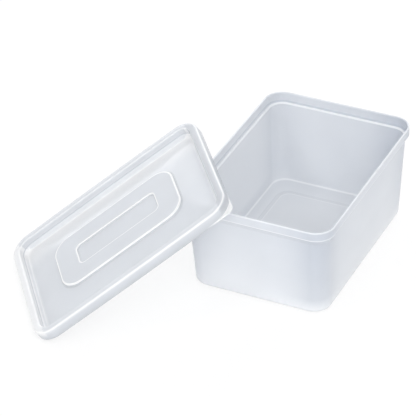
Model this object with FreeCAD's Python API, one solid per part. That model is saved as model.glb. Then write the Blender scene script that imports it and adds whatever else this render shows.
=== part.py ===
import FreeCAD, Part
import math
import os

# A rectangular tub of thin translucent polypropylene for condiments, with its own lid.
# The tub stands on z = 0, centred on the origin: X runs across its short side, Y along its long side.
# The lid is off: its short edge rests on the table and its panel leans on one corner of the rim.
# All sizes are in millimetres and degrees.

# Tub, from the rim down
rim_width = 116.0            # outer size of the collar, across
rim_length = 165.4           # outer size of the collar, along
tub_height = 74.8
rim_corner = 14.4            # outer corner radius of the collar
collar_height = 6.9          # upright outer band below the rim
collar_overhang = 2.6        # how far the band stands proud of the body
collar_slope = 5.0           # height of the slanted underside that brings the band back to the body
lip_wall = 1.4               # wall of the band
lip_rounding = 0.5
ledge_drop = 0.6             # the flat ledge inside lies this much below the band's lower edge
wall = 1.6                   # wall of the body
draft_across = 2.9           # how much each long wall leans in, top to bottom
draft_along = 4.2            # how much each short wall leans in, top to bottom
base_corner = 12.6           # outer corner radius of the foot
foot_rounding = 3.5

# Floor: a flat ring round a slightly raised panel, which keeps the middle off the table
floor_thickness = 1.6
floor_rounding = 2.2         # inside, where wall and floor meet
panel_rise = 0.8
panel_slope = 3.8            # width of the slope up to the panel
panel_margin_across = 9.9    # flat ring between the inner wall and the slope
panel_margin_along = 14.9
panel_corner = 7.5

# Lid
skirt_wall = 0.9
lid_clearance = 0.2          # between the skirt and the collar
panel_wall = 1.3             # everywhere inside the skirt
lid_height = 8.4             # from the skirt's lower edge to the crest of the bead
bead_rounding = 2.3          # on the outer shoulder of the bead
bead_inner_rounding = 1.6
bead_width = 6.6             # from the skirt's outer face to the recess
recess_depth = 8.0           # from the crest down to the foot of the recess
recess_rounding = 2.8        # where the recess wall meets the panel
crown_rise = 1.2             # the panel rises this much from its edge to the oblong
oblong_length = 105.4        # raised oblong in the middle of the panel
oblong_width = 54.6
oblong_corner = 13.9
oblong_rise = 2.0
groove_length = 69.2         # long hollow in the top of the oblong
groove_width = 21.0
groove_corner = 4.2
groove_depth = 1.4
tab_corner = 5.0             # the lifting tab squares off one corner of the skirt
tab_thickness = 1.2

# Where the lid lies
lid_heading = 38.2           # plan direction of the lid's length, from X towards Y
touch_margin = 0.2           # the rim's corner meets the panel this far past the end of the oblong
touch_offset = 10.0          # and this far from the lid's middle line
seat_gap = 0.1               # between the rim's corner and the underside of the panel

overlap = 0.5                # how far a cutting or joining block runs on past the face that it meets


def rounded_loop(width, length, radius, z):
    """Closed wire of a rectangle with round corners, centred on the Z axis."""
    x = width / 2
    y = length / 2
    r = radius
    k = r * (1 - math.sqrt(0.5))

    def point(px, py):
        return FreeCAD.Vector(px, py, z)

    edges = [
        Part.LineSegment(point(-x + r, -y), point(x - r, -y)),
        Part.Arc(point(x - r, -y), point(x - k, -y + k), point(x, -y + r)),
        Part.LineSegment(point(x, -y + r), point(x, y - r)),
        Part.Arc(point(x, y - r), point(x - k, y - k), point(x - r, y)),
        Part.LineSegment(point(x - r, y), point(-x + r, y)),
        Part.Arc(point(-x + r, y), point(-x + k, y - k), point(-x, y - r)),
        Part.LineSegment(point(-x, y - r), point(-x, -y + r)),
        Part.Arc(point(-x, -y + r), point(-x + k, -y + k), point(-x + r, -y)),
    ]
    return Part.Wire([edge.toShape() for edge in edges])


def block(width, length, radius, low, high):
    """Upright block with round corners between two heights."""
    face = Part.Face(rounded_loop(width, length, radius, low))
    return face.extrude(FreeCAD.Vector(0, 0, high - low))


def tapered(lower, upper):
    """Solid between two rounded loops, each given as width, length, radius, z."""
    return Part.makeLoft([rounded_loop(*lower), rounded_loop(*upper)], True, True)


def edges_at(shape, z):
    """Edges that lie wholly at one height."""
    return [edge for edge in shape.Edges
            if abs(edge.BoundBox.ZMin - z) < 1e-4 and abs(edge.BoundBox.ZMax - z) < 1e-4]


# Sizes that follow from the ones above
collar_bottom = tub_height - collar_height
body_width = rim_width - 2 * collar_overhang
body_length = rim_length - 2 * collar_overhang
body_corner = rim_corner - collar_overhang
foot_width = body_width - 2 * draft_across
foot_length = body_length - 2 * draft_along
flare_bottom = collar_bottom - collar_slope
ledge_z = collar_bottom - ledge_drop


def body_section(z, inset):
    """Width, length, corner radius and height of the leaning walls at a height, drawn in by inset."""
    share = z / collar_bottom
    width = foot_width + (body_width - foot_width) * share
    length = foot_length + (body_length - foot_length) * share
    radius = base_corner + (body_corner - base_corner) * share
    return width - 2 * inset, length - 2 * inset, radius - inset, z


def make_cavity():
    """The space inside the tub: the wide band at the top, then the leaning walls down to the floor."""
    well = tapered(body_section(floor_thickness, wall), body_section(ledge_z, wall))
    well = well.makeFillet(floor_rounding, edges_at(well, floor_thickness))
    band = block(rim_width - 2 * lip_wall, rim_length - 2 * lip_wall, rim_corner - lip_wall,
                 ledge_z, tub_height + overlap)
    return band.fuse(well)


def make_floor_panel(z):
    """Low plateau with a sloping edge, standing on height z."""
    floor_width, floor_length = body_section(floor_thickness, wall)[:2]
    width = floor_width - 2 * panel_margin_across
    length = floor_length - 2 * panel_margin_along
    return tapered((width, length, panel_corner + panel_slope / 2, z),
                   (width - 2 * panel_slope, length - 2 * panel_slope, panel_corner, z + panel_rise))


def make_tub():
    body = tapered(body_section(0, 0), body_section(flare_bottom, 0))
    body = body.makeFillet(foot_rounding, edges_at(body, 0))
    flare = tapered(body_section(flare_bottom, 0), (rim_width, rim_length, rim_corner, collar_bottom))
    collar = block(rim_width, rim_length, rim_corner, collar_bottom, tub_height)
    cavity = make_cavity().cut(make_floor_panel(floor_thickness))
    shell = body.fuse(flare).fuse(collar).cut(cavity).cut(make_floor_panel(0))
    return shell.makeFillet(lip_rounding, edges_at(shell, tub_height)).removeSplitter()


# The lid in its own frame: width along X, length along Y, the skirt's lower edge at z = 0
skirt_gap = skirt_wall + lid_clearance
lid_width = rim_width + 2 * skirt_gap
lid_length = rim_length + 2 * skirt_gap
lid_corner = rim_corner + skirt_gap
panel_z = lid_height - recess_depth
underside_z = panel_z - panel_wall
foot_inset = bead_width + recess_rounding
channel_rounding = bead_rounding - skirt_wall
plug_rounding = recess_rounding + panel_wall
touch_along = lid_length / 2 + oblong_length / 2 + touch_margin
touch_height = underside_z + crown_rise - seat_gap


def lid_block(inset, low, high):
    """Block with the lid's outline, drawn in by inset."""
    return block(lid_width - 2 * inset, lid_length - 2 * inset, lid_corner - inset, low, high)


def make_crown(z, draw_in):
    """Hipped rise from the foot of the recess up to the oblong, and the oblong on it with its long hollow."""
    hip = tapered((lid_width - 2 * foot_inset, lid_length - 2 * foot_inset, lid_corner - foot_inset, z),
                  (oblong_width, oblong_length, oblong_corner, z + crown_rise))
    top = z + crown_rise + oblong_rise
    oblong = block(oblong_width - 2 * draw_in, oblong_length - 2 * draw_in, oblong_corner - draw_in,
                   z + crown_rise, top)
    groove = block(groove_width + 2 * draw_in, groove_length + 2 * draw_in, groove_corner + draw_in,
                   top - groove_depth, top)
    return hip.fuse(oblong).cut(groove)


def make_tab():
    """Flat flange at the skirt's foot that fills one round corner out to a nearly square one."""
    side = lid_corner
    flange = block(lid_width, lid_length, tab_corner, 0, tab_thickness)
    window = Part.makeBox(side, side, tab_thickness,
                          FreeCAD.Vector(lid_width / 2 - side, lid_length / 2 - side, 0))
    return flange.common(window).cut(lid_block(skirt_wall, 0, tab_thickness))


def on_recess_mouth(edge):
    """True for the edges round the mouth of the recess."""
    middle = edge.valueAt((edge.FirstParameter + edge.LastParameter) / 2)
    half_width = lid_width / 2 - bead_width
    half_length = lid_length / 2 - bead_width
    return abs(middle.x) < half_width + 0.01 and abs(middle.y) < half_length + 0.01


def make_lid():
    cap = lid_block(0, 0, lid_height)
    cap = cap.makeFillet(bead_rounding, edges_at(cap, lid_height))
    plug_top = underside_z + plug_rounding + overlap
    plug = lid_block(bead_width - panel_wall, underside_z, plug_top)
    plug = plug.makeFillet(plug_rounding, edges_at(plug, underside_z))
    channel = lid_block(skirt_wall, 0, lid_height - panel_wall)
    channel = channel.makeFillet(channel_rounding, edges_at(channel, lid_height - panel_wall))
    channel = channel.cut(lid_block(bead_width - panel_wall, 0, lid_height))
    cap = cap.cut(channel).cut(lid_block(bead_width - panel_wall, 0, plug_top)).fuse(plug)
    recess = lid_block(bead_width, panel_z, lid_height)
    recess = recess.makeFillet(recess_rounding, edges_at(recess, panel_z))
    cap = cap.cut(recess.cut(make_crown(panel_z, 0)))
    mouth = [edge for edge in edges_at(cap, lid_height) if on_recess_mouth(edge)]
    cap = cap.makeFillet(bead_inner_rounding, mouth)
    pocket = make_crown(underside_z, panel_wall)
    return cap.cut(pocket).fuse(make_tab()).removeSplitter()


def lean_angle():
    """Tilt at which the point under the oblong's end lies at the height of the rim."""
    return math.degrees(math.asin(tub_height / math.hypot(touch_along, touch_height))
                        - math.atan2(touch_height, touch_along))


def place_lid(lid):
    """Turn the lid from its own frame to where it leans."""
    heading = math.radians(lid_heading)
    lean = math.radians(lean_angle())
    along = FreeCAD.Vector(math.cos(heading), math.sin(heading), 0)
    across = FreeCAD.Vector(-math.sin(heading), math.cos(heading), 0)
    reach = touch_along * math.cos(lean) - touch_height * math.sin(lean)
    corner = FreeCAD.Vector(-rim_width / 2 + rim_corner, -rim_length / 2 + rim_corner, 0)
    edge_middle = corner - along * (rim_corner + reach) + across * touch_offset
    lid = lid.copy()
    lid.translate(FreeCAD.Vector(0, lid_length / 2, 0))
    origin = FreeCAD.Vector(0, 0, 0)
    lid.rotate(origin, FreeCAD.Vector(1, 0, 0), lean_angle())
    lid.rotate(origin, FreeCAD.Vector(0, 0, 1), lid_heading - 90)
    lid.translate(edge_middle)
    return lid


def main():
    os.makedirs("parts", exist_ok=True)
    pieces = {"tub": make_tub(), "lid": place_lid(make_lid())}
    for name, shape in pieces.items():
        solid = shape.Solids[0]
        volume = round(solid.Volume / 1000, 2)
        print(name, "solids", len(shape.Solids), "valid", solid.isValid(), "volume", volume, "cm3")
        solid.exportStep("parts/" + name + ".step")
    print("lean", round(lean_angle(), 2), "degrees")


main()
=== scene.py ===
import math

import bmesh
import bpy
from mathutils import Matrix, Vector, noise


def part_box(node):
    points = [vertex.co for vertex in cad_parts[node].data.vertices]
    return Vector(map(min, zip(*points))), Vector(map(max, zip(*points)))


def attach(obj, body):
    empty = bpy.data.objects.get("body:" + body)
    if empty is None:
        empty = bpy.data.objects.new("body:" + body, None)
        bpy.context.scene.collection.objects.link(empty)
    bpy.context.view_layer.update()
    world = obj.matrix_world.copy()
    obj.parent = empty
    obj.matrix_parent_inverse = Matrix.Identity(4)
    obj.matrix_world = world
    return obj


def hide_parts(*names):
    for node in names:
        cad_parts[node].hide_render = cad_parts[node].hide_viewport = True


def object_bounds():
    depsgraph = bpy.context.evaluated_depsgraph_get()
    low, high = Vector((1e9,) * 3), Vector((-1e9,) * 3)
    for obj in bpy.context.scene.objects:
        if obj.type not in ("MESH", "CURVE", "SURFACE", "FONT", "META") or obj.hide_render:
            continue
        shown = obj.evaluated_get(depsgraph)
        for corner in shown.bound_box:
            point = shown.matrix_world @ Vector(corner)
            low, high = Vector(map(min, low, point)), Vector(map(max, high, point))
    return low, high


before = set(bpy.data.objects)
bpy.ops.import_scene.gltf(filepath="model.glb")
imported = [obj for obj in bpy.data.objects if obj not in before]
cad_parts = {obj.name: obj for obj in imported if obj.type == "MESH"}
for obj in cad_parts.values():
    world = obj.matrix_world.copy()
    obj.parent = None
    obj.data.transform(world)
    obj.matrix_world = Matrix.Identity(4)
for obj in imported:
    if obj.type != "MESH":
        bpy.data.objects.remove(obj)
cadLow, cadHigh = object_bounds()
mm = 0.001


def hexColour(text):
    # sRGB hex to the linear colour that the shaders use
    parts = [int(text[i:i + 2], 16) / 255 for i in (1, 3, 5)]
    linear = [c / 12.92 if c <= 0.04045 else ((c + 0.055) / 1.055) ** 2.4 for c in parts]
    return (*linear, 1.0)


def addNode(tree, kind, links=None, values=None, **settings):
    # links: input to output socket, values: input to number or colour, settings: its own options
    node = tree.nodes.new(kind)
    for name, value in settings.items():
        setattr(node, name, value)
    for name, value in (values or {}).items():
        node.inputs[name].default_value = value
    for name, socket in (links or {}).items():
        tree.links.new(socket, node.inputs[name])
    return node


def perMetre(sizeMm):
    # texture scale for a pattern that repeats every sizeMm
    return 1 / (sizeMm * mm)


# both pieces are drawn by rounded rectangles stacked along a profile
cornerSteps = 14      # segments round each corner
sideSteps = 16        # segments along each straight side
arcSteps = 6          # segments round each rounded edge of the profile
glowReach = 0.6       # mm over which an edge's painted highlight and milkiness fade into the wall
longestSpan = 9.0     # mm between rings on a plain wall
cornerReach = 20.0    # mm over which a ring's corner shading fades along its sides
sharpPeak = 6         # power that narrows the painted highlight line on a wide rounding
wideRounding = 1.5    # mm, above which a rounding counts as wide
mergeDistance = 0.01  # mm
sharpAngle = 40       # degrees between faces, above which the edge shows


def corner(halfX, halfY, radius, z, rounding=0.0, glow=0.0, tone=0.0, tab=None):
    # one corner of the profile: glow paints a highlight on the edge itself, tone paints light on
    # the walls beside it, below 0 they paint shade instead; tab is the radius of the one corner
    # that differs
    return {"ring": Vector((halfX, halfY, radius, z)), "rounding": rounding,
            "glow": glow, "tone": tone, "tab": radius if tab is None else tab}


def profileDistance(a, b):
    return math.hypot(a[0] - b[0], a[3] - b[3])


def profileRings(corners):
    # rounds each corner of the profile with a true arc and puts rings along the spans between
    rings = []
    count = len(corners)
    for i, item in enumerate(corners):
        here = item["ring"]
        before = corners[i - 1]["ring"] if i > 0 else None
        after = corners[i + 1]["ring"] if i < count - 1 else None
        if item["rounding"] <= 0 or before is None or after is None:
            rings.append((here, item["tab"], item["glow"], item["tone"]))
            continue
        toBefore, toAfter = before - here, after - here
        lengthBefore, lengthAfter = profileDistance(before, here), profileDistance(after, here)
        dot = toBefore[0] * toAfter[0] + toBefore[3] * toAfter[3]
        cosine = dot / (lengthBefore * lengthAfter)
        turn = math.pi - math.acos(max(-1.0, min(1.0, cosine)))
        tangent = item["rounding"] * math.tan(turn / 2)
        start = here + toBefore * (tangent / lengthBefore)
        end = here + toAfter * (tangent / lengthAfter)
        weight = math.cos(turn / 2)
        for step in range(arcSteps + 1):
            t = step / arcSteps
            a, b, c = (1 - t) ** 2, 2 * t * (1 - t) * weight, t * t
            point = (start * a + here * b + end * c) / (a + b + c)
            peak = math.sin(math.pi * t) ** sharpPeak if item["rounding"] > wideRounding else 1.0
            tab = item["tab"] + point[2] - here[2]
            rings.append((point, tab, item["glow"] * peak, item["tone"]))
    return spacedRings(rings)


def spacedRings(rings):
    # extra rings near each rounded edge, so that its glow fades quickly, and along long walls
    spaced = [rings[0]]
    for (a, tabA, _, toneA), (b, tabB, glowB, toneB) in zip(rings, rings[1:]):
        span = profileDistance(a, b)
        cuts = []
        if span > 3 * glowReach:
            inner = span - 2 * glowReach
            steps = max(1, math.ceil(inner / longestSpan))
            cuts = [(glowReach + inner * k / steps) / span for k in range(steps + 1)]
        for cut in cuts:
            tab = tabA + (tabB - tabA) * cut
            tone = toneA + (toneB - toneA) * cut
            spaced.append((a.lerp(b, cut), tab, 0.0, tone))
        spaced.append((b, tabB, glowB, toneB))
    return spaced


def ringPoints(ring, tabRadius):
    # points of one rounded rectangle, the same number on each, starting low on the +X side
    halfX, halfY, radius, z = ring
    points = []
    signs = ((1, 1, 0), (-1, 1, 90), (-1, -1, 180), (1, -1, 270))
    radii = [tabRadius, radius, radius, radius]
    centres = [Vector((sx * (halfX - r), sy * (halfY - r))) for (sx, sy, _), r in zip(signs, radii)]
    for i, ((_, _, angle), r) in enumerate(zip(signs, radii)):
        previous = centres[i - 1]
        previousRadius = radii[i - 1]
        first = math.radians(angle)
        outward = Vector((math.cos(first), math.sin(first)))
        sideStart = previous + outward * previousRadius
        sideEnd = centres[i] + outward * r
        for step in range(sideSteps):
            p = sideStart.lerp(sideEnd, step / sideSteps)
            points.append(Vector((p.x, p.y, z)))
        for step in range(cornerSteps):
            turn = first + math.radians(90) * step / cornerSteps
            p = centres[i] + Vector((math.cos(turn), math.sin(turn))) * r
            points.append(Vector((p.x, p.y, z)))
    return points


def nearCorner(ring, p):
    # 1 at a corner of the ring, fading to 0 along its straight sides
    away = max(ring[0] - abs(p.x), ring[1] - abs(p.y))
    return math.exp(-(away / cornerReach) ** 2)


def loft(name, corners, place, uneven, shadeAt):
    # a closed shell through all the rings, closed by a flat face at both ends
    # place turns mm into the piece's place, uneven bends each point, shadeAt adds painted light and
    # shade to its tone
    mesh = bpy.data.meshes.new(name)
    shell = bmesh.new()
    # edgeGlow carries the painted highlight (above 0) and painted shade (below 0) of each point
    glowLayer = shell.verts.layers.float.new("edgeGlow")
    loops = []
    for ring, tabRadius, glow, tone in profileRings(corners):
        loop = []
        for p in ringPoints(ring, tabRadius):
            vert = shell.verts.new(place @ (uneven(p) * mm))
            shade = shadeAt(ring, p) * (1 - min(abs(glow), 1))
            vert[glowLayer] = max(-1.0, min(1.0, glow + tone + shade))
            loop.append(vert)
        loops.append(loop)
    total = len(loops[0])
    for low, high in zip(loops, loops[1:]):
        for k in range(total):
            shell.faces.new((low[k], low[(k + 1) % total], high[(k + 1) % total], high[k]))
    shell.faces.new(list(reversed(loops[0])))
    shell.faces.new(loops[-1])
    bmesh.ops.remove_doubles(shell, verts=shell.verts, dist=mergeDistance * mm)
    bmesh.ops.recalc_face_normals(shell, faces=shell.faces)
    shell.to_mesh(mesh)
    shell.free()
    mesh.shade_smooth()
    mesh.set_sharp_from_angle(angle=math.radians(sharpAngle))
    piece = bpy.data.objects.new(name, mesh)
    bpy.context.scene.collection.objects.link(piece)
    piece.modifiers.new("facesFirst", "WEIGHTED_NORMAL").keep_sharp = True
    return piece


tub = {
    "halfWidth": 58.0,        # all in mm, from the rim down
    "rimCorner": 14.4,
    "collarHeight": 6.9,
    "collarOverhang": 2.6,
    "collarSlope": 5.0,
    "lipWall": 1.4,
    "lipRounding": 0.6,
    "ledgeDrop": 0.6,
    "wall": 1.6,
    "draftAcross": 2.9,
    "draftAlong": 4.2,
    "baseCorner": 12.6,
    "footRounding": 3.5,
    "floorThickness": 1.6,
    "floorRounding": 1.7,
    "panelRise": 0.8,
    "panelSlope": 3.8,
    "panelMarginAcross": 9.9,
    "panelMarginAlong": 14.9,
    "panelCorner": 7.5,
    "middle": 4,              # slopes in from the panel's foot to the flat face in its middle
    "lowWall": 30.0,          # below this the outer walls are painted whiter, for light thrown up from the table
    "paintedCornerShade": -0.6,       # painted shade in the upright corners
    "upFrom": 4.0,            # the walls start this high
    "wallTone": 0.22,         # the walls all over
    "paintedSideLight": 0.45,         # painted light: whiter towards the lid, where light comes through, greyer away from it
    "paintedFarSideLight": 0.3,       # painted light, which lifts the other long wall again
    "farSide": (42.0, 12.0),  # from here, over this far
    "floorTone": 0.2,
    "wave": 0.08,             # moulded walls are never quite flat
    "waveLength": 42.0,
    "waveFrom": 6.0,          # above the base
    "waveUpTo": 16.0,         # below the rim
    "waveFade": 10.0,
}


def tubProfile():
    low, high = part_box("tub")
    halfX, halfY, height = (high.x - low.x) / 2 / mm, (high.y - low.y) / 2 / mm, high.z / mm
    t = tub
    collarBottom = height - t["collarHeight"]
    overhang, inner = t["collarOverhang"], t["lipWall"]
    topCorner = t["rimCorner"] - overhang

    def body(z, inset, rounding, glow, tone=0.0):
        share = 1 - z / collarBottom
        radius = topCorner + (t["baseCorner"] - topCorner) * share
        return corner(halfX - overhang - t["draftAcross"] * share - inset,
                      halfY - overhang - t["draftAlong"] * share - inset,
                      radius - inset, z, rounding, glow, tone)

    def band(inset, z, rounding, glow, tone=0.0):
        return corner(halfX - inset, halfY - inset, t["rimCorner"] - inset, z, rounding, glow, tone)

    def panel(step, z, rounding=0.0, glow=0.0, tone=0.0):
        foot = body(t["floorThickness"], t["wall"], 0, 0)["ring"]
        slope = t["panelSlope"]
        return corner(foot[0] - t["panelMarginAcross"] - step * slope,
                      foot[1] - t["panelMarginAlong"] - step * slope,
                      t["panelCorner"] + slope / 2 * (1 - step), z, rounding, glow, tone)

    ledge = collarBottom - t["ledgeDrop"]
    flare = collarBottom - t["collarSlope"]
    floor = t["floorThickness"]
    # glow and tone below paint light and shade: whiter lines on the rim, collar, ledge and floor
    # edges, darker lines in the folds at the ledge and the floor panel, whiter low walls and floor,
    # a greyer collar and lip
    return [
        panel(t["middle"], t["panelRise"]),
        panel(1, t["panelRise"], 2.0, 0.2),
        panel(0, 0, 2.0, 0.3),
        body(0, 0, t["footRounding"], 0.2, 0.6),
        body(t["lowWall"], 0, 0.0, 0.0, 0.1),
        body(flare, 0, 2.0, 0.0, -0.2),
        band(0, collarBottom, 0.6, 0.9, -0.2),
        band(0, height, t["lipRounding"], 0.7, -0.2),
        band(inner, height, t["lipRounding"], 0.3, -0.3),
        band(inner, ledge, 0.5, -0.6, -0.2),
        body(ledge, t["wall"], 0.7, 1.0),
        body(floor, t["wall"], t["floorRounding"], 1.0, 0.1),
        panel(0, floor, 1.5, -0.2, 0.4),
        panel(1, floor + t["panelRise"], 1.0, 1.0, 0.35),
        panel(t["middle"], floor + t["panelRise"], 0.0, 0.0, 0.4),
    ]


def tubUneven(height):
    # the body's walls waver inward a little between foot and collar
    t = tub

    def move(p):
        lower = min(max((p.z - t["waveFrom"]) / t["waveFade"], 0), 1)
        upper = min(max((height - t["waveUpTo"] - p.z) / t["waveFade"], 0), 1)
        if lower * upper <= 0:
            return p
        wave = noise.noise(Vector(p) / t["waveLength"]) * 0.5 + 0.5
        inward = Vector((p.x, p.y, 0)).normalized() * t["wave"] * wave * (lower * upper)
        return p - inward
    return move


def tubShade(ring, p):
    # painted light and shade added to the tone of each point: a lift on the floor and walls, whiter
    # towards the lid and lifted again on the other long wall, painted shade in the upright corners
    t = tub
    if p.z < t["upFrom"]:
        return t["floorTone"]
    start, span = t["farSide"]
    farSide = t["paintedFarSideLight"] * min(max((p.x - start) / span, 0), 1)
    across = t["paintedSideLight"] * p.x / t["halfWidth"]
    return t["wallTone"] + farSide - across + t["paintedCornerShade"] * nearCorner(ring, p)


lid = {
    "corner": 15.5,           # all in mm, with the skirt's lower edge at 0
    "skirtWall": 0.9,
    "panelWall": 1.3,
    "height": 8.4,
    "width": 118.2,
    "length": 167.6,
    "beadRounding": 2.3,
    "beadInnerRounding": 1.6,
    "beadWidth": 6.6,
    "beadLean": 0.4,          # the recess wall leans in by this much
    "recessDepth": 8.0,
    "recessRounding": 2.8,
    "crownRise": 3.6,         # the panel domes up to the oblong
    "underCrown": 1.2,
    "panelCorner": 7.0,
    "ringWidth": 2.0,         # slanted ring at the foot of the recess
    "ringHeight": 3.2,
    "ringBlend": (2.0, 0.2),  # how the ring runs out into the panel: width and height
    "bow": (0.8, 1.0),        # the far and the near long side bulge this much at their middle
    "oblong": (54.6, 105.4, 13.9),
    "oblongRise": 2.0,
    "groove": (21.0, 69.2, 4.2),
    "grooveDepth": 1.4,
    "middle": 9.0,            # from the groove's side to the flat face in its middle
    "stepRounding": 0.8,
    "tabCorner": 5.0,
    "tabThickness": 1.2,
    "paintedTabLight": 1.3,           # painted light: the thin lifting tab drawn whiter, for the light it catches
    "tabShare": 0.4,          # how near its corner the tab starts
    "paintedEndLight": 0.5,           # painted light on the rim's end that lies on the table, painted shade on the other end
    "endFrom": 3.0,           # on what lies higher than this
    "paintedFarLight": 0.65,          # painted light on the panel's far side, where the recess wall shades it
    "far": (27.0, 20.0),      # from here, over this far
    "panelFrom": 0.3,         # on what lies higher than this
}


def lidProfile():
    s = lid
    halfX, halfY, radius = s["width"] / 2, s["length"] / 2, s["corner"]
    top = s["height"]
    panelZ = top - s["recessDepth"]
    underZ = panelZ - s["panelWall"]
    plugInset = s["beadWidth"] - s["panelWall"]
    footInset = s["beadWidth"] + s["recessRounding"]
    step = s["stepRounding"]

    def edge(inset, z, rounding=0.0, glow=0.0, tone=0.0, tab=None):
        own = max(radius - inset, s["panelCorner"]) if inset > footInset else radius - inset
        return corner(halfX - inset, halfY - inset, own, z, rounding, glow, tone, tab)

    def oblong(drawIn, z, rounding, glow):
        x, y, r = s["oblong"]
        return corner(x / 2 - drawIn, y / 2 - drawIn, r - drawIn, z, rounding, glow)

    def groove(grow, z, rounding, glow):
        x, y, r = s["groove"]
        return corner(x / 2 + grow, y / 2 + grow, max(r + grow, 0.3), z, rounding, glow)

    hipUnder, hipTop = underZ + s["underCrown"], panelZ + s["crownRise"]
    oblongUnder, oblongTop = hipUnder + s["oblongRise"], hipTop + s["oblongRise"]
    ringFoot = s["beadWidth"] + s["ringWidth"]
    blendWidth, blendHeight = s["ringBlend"]
    wall = s["panelWall"]
    # glow and tone below paint light and shade: whiter lines on the bead's crest and the oblong and
    # groove rims, darker lines in the folds at the recess foot, the oblong's foot and the groove's
    # floor, a greyer skirt foot, a whiter ring
    return [
        groove(wall - s["middle"], oblongUnder - s["grooveDepth"], 0, 0),
        groove(wall, oblongUnder - s["grooveDepth"], 0.5, 0.2),
        groove(wall, oblongUnder, 0.5, 0.2),
        oblong(wall, oblongUnder, step, 0.2),
        oblong(wall, hipUnder, step, 0.2),
        edge(footInset, underZ, 0.0, 0.0),
        edge(plugInset, underZ, s["recessRounding"] + wall, 0.2),
        edge(plugInset, top - wall, 0.8, 0.2),
        edge(s["skirtWall"], top - wall, s["beadRounding"] - s["skirtWall"], 0.2),
        edge(s["skirtWall"], 0, 0.0, 0.0),
        edge(0, 0, 0.3, 0.0, -0.6, s["tabCorner"]),
        edge(0, s["tabThickness"], 0.0, 0.0, -0.4, s["tabCorner"]),
        edge(0, s["tabThickness"], 0.0, 0.0, -0.4),
        edge(0, top, s["beadRounding"], 1.0, 0.15),
        edge(s["beadWidth"] - s["beadLean"], top, s["beadInnerRounding"], 0.5, 0.15),
        edge(s["beadWidth"], panelZ + s["ringHeight"], 0.4, -0.6, 0.3),
        edge(ringFoot, panelZ, 1.0, 0.2, 0.2),
        edge(ringFoot + blendWidth, panelZ + blendHeight, 2.0, 0.0, 0.1),
        oblong(0, hipTop, step, -0.5),
        oblong(0, oblongTop, step, 1.0),
        groove(0, oblongTop, 0.5, 1.0),
        groove(0, oblongTop - s["grooveDepth"], 0.5, -0.4),
        groove(-s["middle"], oblongTop - s["grooveDepth"], 0, 0),
    ]


def lidUneven(p):
    # the freed lid bulges along its long sides, as thin mouldings do
    along = 1 - (p.y / lid["length"] * 2) ** 2
    outward = p.x / lid["width"] * 2
    return Vector((p.x + lid["bow"][p.x > 0] * along * outward, p.y, p.z))


def lidShade(ring, p):
    # painted light and shade added to the tone of each point: the tab, the rim's two ends and the
    # far side of the panel
    s = lid
    halfX, halfY = s["width"] / 2, s["length"] / 2
    if ring[0] > halfX - 1 and p.z < s["tabThickness"] + 0.1:
        onTab = min(p.x, p.y) > 0 and nearCorner(ring, p) > s["tabShare"]
        return s["paintedTabLight"] if onTab else 0.0
    if abs(p.y) > halfY - s["beadWidth"] - 1 and p.z > s["endFrom"]:
        return s["paintedEndLight"] if p.y < 0 else -s["paintedEndLight"]
    if p.z < s["panelFrom"] or p.x <= s["beadWidth"] + s["ringWidth"] - halfX:
        return 0.0
    start, span = s["far"]
    return s["paintedFarLight"] * min(max((-p.x - start) / span, 0), 1)


tableReach = 0.02     # mm above the table that still counts as touching it


def lidPlace():
    # the lid's lean is read from the frame: its short edge lies on the table, its far end is up
    verts = [v.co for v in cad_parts["lid"].data.vertices]
    onTable = [v for v in verts if v.z < tableReach * mm]
    a = max(onTable, key=lambda v: v.y - v.x)
    b = min(onTable, key=lambda v: v.y - v.x)
    middle = (a + b) / 2
    across = (a - b).normalized()
    along = Vector((across.y, -across.x, 0))
    reach = max((v - middle).dot(along) for v in verts)
    lean = math.acos(min(reach / (lid["length"] * mm), 1.0))
    up = Vector((-along.x * math.sin(lean), -along.y * math.sin(lean), math.cos(lean)))
    alongUp = along * math.cos(lean) + Vector((0, 0, math.sin(lean)))
    turn = Matrix((-across, alongUp, up)).transposed().to_4x4()
    start = middle + alongUp * lid["length"] / 2 * mm
    return Matrix.Translation(start) @ turn


tubPlastic = {
    "body": "#E3E7ED",        # milky polypropylene, a trace of blue
    "edge": "#FAFCFF",        # rims and folds drawn white: painted highlight for the light they gather, and milkier thick plastic
    "fold": "#BFC6D2",        # painted shade inside a tight fold, also the colour of the deepest flow clouds
    "inside": "#FFFFFF",      # what the light takes on inside the wall
    "roughness": 0.17,
    "throughLight": 0.2,      # share of light that crosses the wall, scattered
    "clearShare": 0.1,        # share that crosses it unscattered
}

lidPlastic = {
    "body": "#E0E4EA",        # the same resin in a thinner wall, a little greyer
    # edge and fold paint highlight and shade as for the tub
    "edge": "#FFFFFF",
    "fold": "#B6B9BE",
    "inside": "#FFFFFF",
    "roughness": 0.18,
    "throughLight": 0.2,
    "clearShare": 0.18,
}

ior = 1.49                    # polypropylene
cloudMm = 24.0                # flow clouds left by the melt
cloudDepth = 0.12             # share of the fold colour in the deepest cloud
grainMm = 1.1                 # satin of the mould, drawn coarser than the real 0.1 mm to show
grainDepthMm = 0.01


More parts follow.
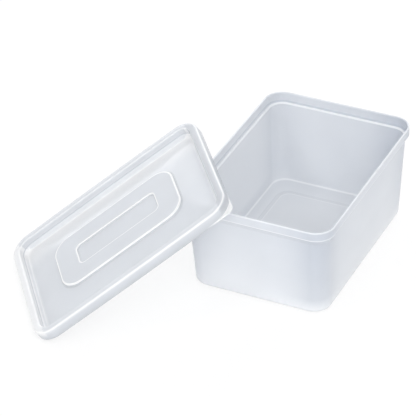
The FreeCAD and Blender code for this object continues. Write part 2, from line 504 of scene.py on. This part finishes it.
def mouldedPolypropylene(name, look):
    # injection moulded polypropylene: milky, lets light through scattered, with a soft satin gloss
    material = bpy.data.materials.new(name)
    material.use_nodes = True
    tree = material.node_tree
    tree.nodes.clear()
    place = addNode(tree, "ShaderNodeTexCoord").outputs["Object"]
    clouds = addNode(tree, "ShaderNodeTexNoise", {"Vector": place},
                     {"Scale": perMetre(cloudMm), "Detail": 3.0, "Roughness": 0.45})
    grain = addNode(tree, "ShaderNodeTexNoise", {"Vector": place},
                    {"Scale": perMetre(grainMm), "Detail": 2.0, "Roughness": 0.5})
    # edgeGlow paints highlights white and shade in folds darker, and makes edges less clear
    glow = addNode(tree, "ShaderNodeAttribute", attribute_name="edgeGlow").outputs["Fac"]
    light, deep = [hexColour(look[key]) for key in ("body", "fold")]
    cloudShare = addNode(tree, "ShaderNodeMapRange", {"Value": clouds.outputs["Fac"]},
                         {"From Min": 0.3, "From Max": 0.7, "To Min": 0.0, "To Max": cloudDepth})
    cloudy = addNode(tree, "ShaderNodeMix", {"Factor": cloudShare.outputs["Result"]},
                     {"A": light, "B": deep}, data_type="RGBA")
    paintedEdgeHighlight = addNode(tree, "ShaderNodeMix", {"Factor": glow, "A": cloudy.outputs["Result"]},
                    {"B": hexColour(look["edge"])}, data_type="RGBA")
    paintedFoldShade = addNode(tree, "ShaderNodeMath", {0: glow}, {1: -1.0},
                     operation="MULTIPLY", use_clamp=True)
    colour = addNode(tree, "ShaderNodeMix",
                     {"Factor": paintedFoldShade.outputs["Value"], "A": paintedEdgeHighlight.outputs["Result"]},
                     {"B": deep}, data_type="RGBA")
    roughness = addNode(tree, "ShaderNodeMapRange", {"Value": clouds.outputs["Fac"]},
                        {"From Min": 0.3, "From Max": 0.7, "To Min": look["roughness"] - 0.03,
                         "To Max": look["roughness"] + 0.04})
    satin = addNode(tree, "ShaderNodeBump", {"Height": grain.outputs["Fac"]},
                    {"Strength": 0.15, "Distance": grainDepthMm * mm})
    surface = addNode(tree, "ShaderNodeBsdfPrincipled",
                      {"Base Color": colour.outputs["Result"],
                       "Roughness": roughness.outputs["Result"],
                       "Normal": satin.outputs["Normal"]},
                      {"IOR": ior})
    scattered = addNode(tree, "ShaderNodeBsdfTranslucent", {"Normal": satin.outputs["Normal"]},
                        {"Color": hexColour(look["inside"])})
    milky = addNode(tree, "ShaderNodeMixShader",
                    {1: surface.outputs["BSDF"], 2: scattered.outputs["BSDF"]},
                    {"Fac": look["throughLight"]})
    clear = addNode(tree, "ShaderNodeBsdfTransparent")
    clearness = addNode(tree, "ShaderNodeMapRange", {"Value": glow},
                        {"To Min": look["clearShare"], "To Max": 0.02})
    whole = addNode(tree, "ShaderNodeMixShader",
                    {"Fac": clearness.outputs["Result"],
                     1: milky.outputs["Shader"], 2: clear.outputs["BSDF"]})
    addNode(tree, "ShaderNodeOutputMaterial", {"Surface": whole.outputs["Shader"]})
    return material


stage = {
    "azimuth": 26.63,         # degrees round the object, from -Y towards +X
    "elevation": 34.11,
    "roll": -1.95,
    "distance": 1.7937,       # metres
    "lens": 214.4,
    "aim": (0.0117, 0.0046, -0.0018),   # metres from the middle of the object's box
    "roomLight": 0.62,        # white light from all round
    "floorReach": 6.0,        # metres from the middle to each side
    "floorDrop": 0.15,        # mm below the tub's base
    "floorColour": "#FFFFFF",
    "floorGlow": 0.75,        # share of the floor that the camera sees as plain white
}

softboxes = {                 # azimuth and elevation in degrees, distance and size in metres, watts
    "back": (180, 19, 2.4, 1.6, 16),
    "backLeft": (-135, 19, 2.4, 1.6, 16),
    "front": (0, 19, 2.4, 1.6, 9),
    "frontRight": (45, 50, 2.4, 1.6, 20),
    "sparkle": (-36, 47, 2.4, 0.25, 5),       # small, for the crisp lines along the rims
}


def addCamera(low, high):
    s = stage
    azimuth, elevation, roll = (math.radians(s[k]) for k in ("azimuth", "elevation", "roll"))
    back = Vector((math.sin(azimuth) * math.cos(elevation),
                   -math.cos(azimuth) * math.cos(elevation), math.sin(elevation)))
    right = Vector((0, 0, 1)).cross(back).normalized()
    up = back.cross(right)
    cosRoll, sinRoll = math.cos(roll), math.sin(roll)
    right, up = right * cosRoll + up * sinRoll, up * cosRoll - right * sinRoll
    camera = bpy.data.objects.new("camera", bpy.data.cameras.new("camera"))
    camera.data.lens = s["lens"]
    camera.data.sensor_width = 36      # mm
    camera.data.clip_end = 20          # metres
    turn = Matrix((right, up, back)).transposed().to_4x4()
    aim = (low + high) / 2 + Vector(s["aim"])
    camera.matrix_world = Matrix.Translation(aim + back * s["distance"]) @ turn
    bpy.context.scene.collection.objects.link(camera)
    bpy.context.scene.camera = camera


def addSoftbox(name, target, azimuth, elevation, distance, size, energy):
    light = bpy.data.objects.new(name, bpy.data.lights.new(name, "AREA"))
    light.data.shape = "SQUARE"
    light.data.size = size
    light.data.energy = energy
    turn, lift = math.radians(azimuth), math.radians(elevation)
    level = math.cos(lift)
    away = Vector((math.sin(turn) * level, -math.cos(turn) * level, math.sin(lift)))
    light.location = target + away * distance
    light.rotation_euler = away.to_track_quat("Z", "Y").to_euler()
    bpy.context.scene.collection.objects.link(light)


def seenDirectly(tree):
    # 1 where the camera looks, also by way of a mirror or through something clear
    rays = addNode(tree, "ShaderNodeLightPath")
    straight = addNode(tree, "ShaderNodeMath",
                       {0: rays.outputs["Is Camera Ray"], 1: rays.outputs["Is Glossy Ray"]},
                       operation="MAXIMUM").outputs["Value"]
    return addNode(tree, "ShaderNodeMath", {0: straight, 1: rays.outputs["Is Transmission Ray"]},
                   operation="MAXIMUM").outputs["Value"]


def addFloor():
    mesh = bpy.data.meshes.new("floor")
    reach = stage["floorReach"]
    corners = [(-reach, -reach, 0), (reach, -reach, 0), (reach, reach, 0), (-reach, reach, 0)]
    mesh.from_pydata(corners, [], [(0, 1, 2, 3)])
    floor = bpy.data.objects.new("floor", mesh)
    floor.location.z = -stage["floorDrop"] * mm
    material = bpy.data.materials.new("whitePaperFloor")
    material.use_nodes = True
    tree = material.node_tree
    tree.nodes.clear()
    paper = addNode(tree, "ShaderNodeBsdfDiffuse",
                    values={"Color": hexColour(stage["floorColour"])})
    white = addNode(tree, "ShaderNodeEmission", values={"Color": (1, 1, 1, 1), "Strength": 1.0})
    share = addNode(tree, "ShaderNodeMath", {0: seenDirectly(tree)}, {1: stage["floorGlow"]},
                    operation="MULTIPLY").outputs["Value"]
    shader = addNode(tree, "ShaderNodeMixShader",
                     {"Fac": share, 1: paper.outputs["BSDF"], 2: white.outputs["Emission"]})
    addNode(tree, "ShaderNodeOutputMaterial", {"Surface": shader.outputs["Shader"]})
    mesh.materials.append(material)
    bpy.context.scene.collection.objects.link(floor)


def addWorld():
    world = bpy.data.worlds.new("whiteRoom")
    bpy.context.scene.world = world
    world.use_nodes = True
    tree = world.node_tree
    tree.nodes.clear()
    strength = addNode(tree, "ShaderNodeMapRange", {"Value": seenDirectly(tree)},
                       {"To Min": stage["roomLight"], "To Max": 1.0})
    sky = addNode(tree, "ShaderNodeBackground", {"Strength": strength.outputs["Result"]},
                  {"Color": (1, 1, 1, 1)})
    addNode(tree, "ShaderNodeOutputWorld", {"Surface": sky.outputs["Background"]})


addCamera(cadLow, cadHigh)
print("camera set")

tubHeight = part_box("tub")[1].z / mm
tubPiece = loft("tubShell", tubProfile(), Matrix.Identity(4), tubUneven(tubHeight), tubShade)
tubPiece.data.materials.append(mouldedPolypropylene("milkyPolypropyleneTub", tubPlastic))
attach(tubPiece, "root")
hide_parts("tub")
print("tub made")

lidPiece = loft("lidShell", lidProfile(), lidPlace(), lidUneven, lidShade)
lidPiece.data.materials.append(mouldedPolypropylene("milkyPolypropyleneLid", lidPlastic))
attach(lidPiece, "root")
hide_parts("lid")
print("lid made")

addFloor()
addWorld()
centre = (cadLow + cadHigh) / 2
for name, place in softboxes.items():
    addSoftbox(name + "Softbox", centre, *place)
bpy.context.scene.view_settings.view_transform = "Standard"
print("stage set")
